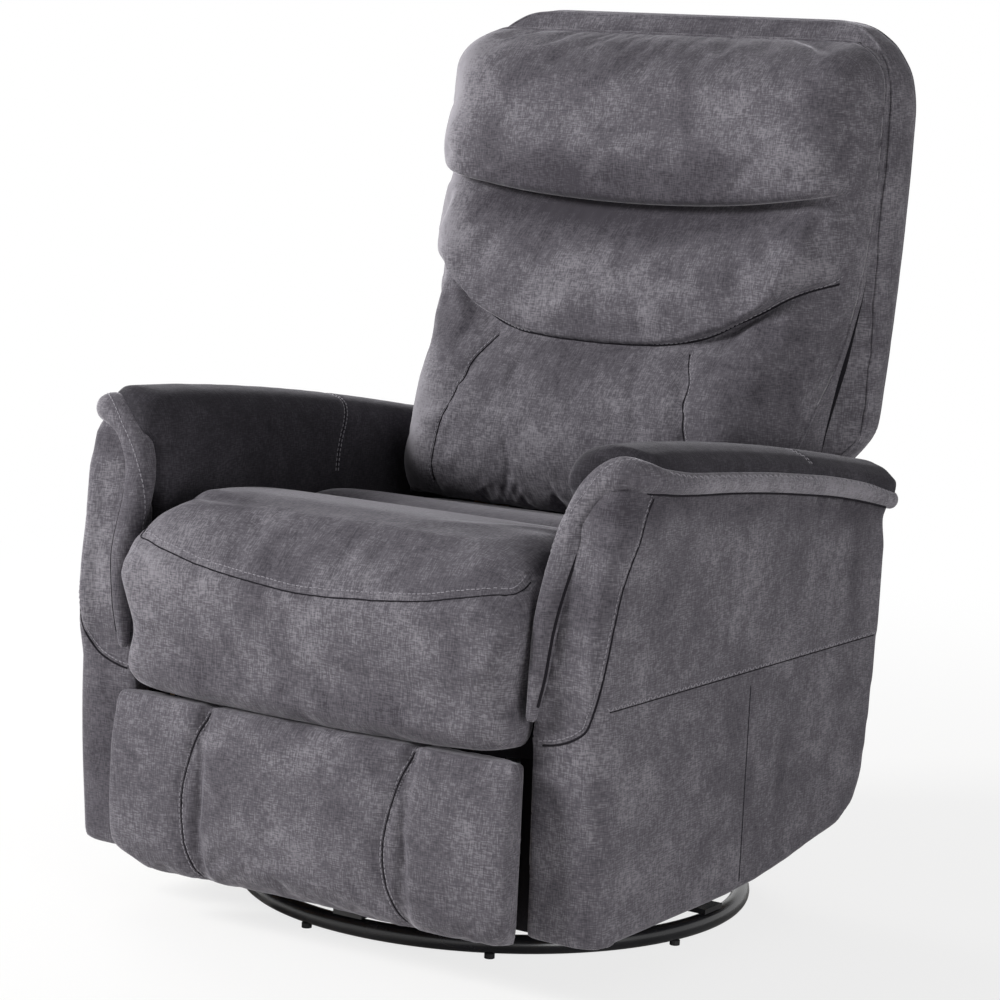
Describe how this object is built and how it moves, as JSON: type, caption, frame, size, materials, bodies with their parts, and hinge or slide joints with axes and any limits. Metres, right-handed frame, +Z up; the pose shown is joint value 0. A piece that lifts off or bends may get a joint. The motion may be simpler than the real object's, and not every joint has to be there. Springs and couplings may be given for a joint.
{
  "type": "swivel glider recliner",
  "caption": "Upholstered armchair that swivels and glides on a ring base, with a reclining back, a tilting seat and a fold-out footrest on links.",
  "frame": {"origin": "on the floor, on the swivel axis, which is the middle of the chair's footprint", "axes": "+Z up, the sitter faces -Y, +X to the sitter's left"},
  "size_m": [0.762, 0.8322, 1.067],
  "materials": {
    "upholstery": "napped weave, grey",
    "ring_enamel": "satin black",
    "frame_enamel": "semi-matt black",
    "zinc_steel": "zinc plated",
    "spring_steel": "oiled wire",
    "foot_rubber": "matt",
    "bearing_plastic": "moulded",
    "release_plastic": "moulded",
    "frame_wood": "raw plywood"
  },
  "bodies": {
    "base": {"base_ring": "ring_enamel", "base_foot_1": "foot_rubber", "base_foot_2": "foot_rubber", "base_foot_3": "foot_rubber", "base_foot_4": "foot_rubber", "base_foot_5": "foot_rubber", "base_foot_6": "foot_rubber", "base_foot_7": "foot_rubber", "base_foot_8": "foot_rubber", "base_spider": "frame_enamel", "lower_bearing_race": "zinc_steel", "bearing_ball_cage": "bearing_plastic", "swivel_bolt": "zinc_steel"},
    "turntable": {"upper_bearing_race": "zinc_steel", "glider_frame": "frame_enamel"},
    "front_links": {"glide_link_front_left": "zinc_steel", "glide_link_front_right": "zinc_steel"},
    "rear_links": {"glide_link_rear_left": "zinc_steel", "glide_link_rear_right": "zinc_steel"},
    "chassis": {"chassis_frame": "frame_enamel", "rear_board": "frame_wood", "rear_panel": "upholstery", "arm_frame_left": "frame_wood", "arm_frame_right": "frame_wood", "side_panel_left": "upholstery", "side_panel_right": "upholstery", "arm_facing_left": "upholstery", "arm_facing_right": "upholstery", "arm_pad_left": "upholstery", "arm_pad_right": "upholstery", "back_hinge_left": "frame_enamel", "back_hinge_right": "frame_enamel", "release_cup": "release_plastic"},
    "paddle": {"release_paddle": "release_plastic"},
    "seat": {"seat_frame": "frame_enamel", "seat_beam_front": "frame_wood", "seat_beam_rear": "frame_wood", "seat_spring_1": "spring_steel", "seat_spring_2": "spring_steel", "seat_spring_3": "spring_steel", "seat_cushion": "upholstery"},
    "back": {"back_shell": "upholstery", "back_post_left": "frame_wood", "back_post_right": "frame_wood", "back_rail_lower": "frame_wood", "back_rail_upper": "frame_wood", "back_bracket_left": "zinc_steel", "back_bracket_right": "zinc_steel", "headrest_cushion": "upholstery", "shoulder_cushion": "upholstery", "lumbar_cushion": "upholstery"},
    "lower_footrest_links": {"footrest_lower_link_left": "zinc_steel", "footrest_lower_link_right": "zinc_steel"},
    "upper_footrest_links": {"footrest_upper_link_left": "zinc_steel", "footrest_upper_link_right": "zinc_steel"},
    "footrest": {"footrest_bracket_left": "zinc_steel", "footrest_bracket_right": "zinc_steel", "footrest_board": "frame_wood", "footrest_pad": "upholstery"}
  },
  "joints": [
    {"name": "swivel", "type": "hinge", "parent": "base", "child": "turntable", "pos_m": [0, 0, 0.04], "axis": [0, 0, 1], "continuous": true},
    {"name": "glide", "type": "hinge", "parent": "turntable", "child": "front_links", "pos_m": [0, -0.15, 0.164], "axis": [1, 0, 0], "range_deg": [-15, 15]},
    {"name": "rear_link_swing", "type": "hinge", "parent": "turntable", "child": "rear_links", "pos_m": [0, 0.15, 0.164], "axis": [1, 0, 0], "range_deg": [-15, 15]},
    {"name": "chassis_level", "type": "hinge", "parent": "front_links", "child": "chassis", "pos_m": [0, -0.15, 0.074], "axis": [1, 0, 0], "range_deg": [-15, 15]},
    {"name": "release", "type": "hinge", "parent": "chassis", "child": "paddle", "pos_m": [-0.355, -0.09, 0.3945], "axis": [0, 1, 0], "range_deg": [0, 35], "stiffness_Nm_per_rad": 0.4, "springref_deg": -11.46},
    {"name": "recline", "type": "hinge", "parent": "chassis", "child": "back", "pos_m": [0, 0.255, 0.25], "axis": [-1, 0, 0], "range_deg": [0, 40]},
    {"name": "seat_tilt", "type": "hinge", "parent": "chassis", "child": "seat", "pos_m": [0, 0.16, 0.3], "axis": [-1, 0, 0], "range_deg": [0, 6]},
    {"name": "footrest", "type": "hinge", "parent": "seat", "child": "lower_footrest_links", "pos_m": [0, -0.315, 0.245], "axis": [-1, 0, 0], "range_deg": [0, 104]},
    {"name": "footrest_knee", "type": "hinge", "parent": "lower_footrest_links", "child": "upper_footrest_links", "pos_m": [0, -0.28288, 0.06281], "axis": [-1, 0, 0], "range_deg": [-180, 0]},
    {"name": "footrest_turn", "type": "hinge", "parent": "upper_footrest_links", "child": "footrest", "pos_m": [0, -0.315, 0.245], "axis": [-1, 0, 0], "range_deg": [0, 166]}
  ],
  "couplings": [
    {"joint": "rear_link_swing", "follows": "glide", "ratio": 1},
    {"joint": "chassis_level", "follows": "glide", "ratio": -1},
    {"joint": "seat_tilt", "follows": "recline", "ratio": 0.15},
    {"joint": "footrest_knee", "follows": "footrest", "ratio": -1.7307},
    {"joint": "footrest_turn", "follows": "footrest", "ratio": 1.5961}
  ]
}
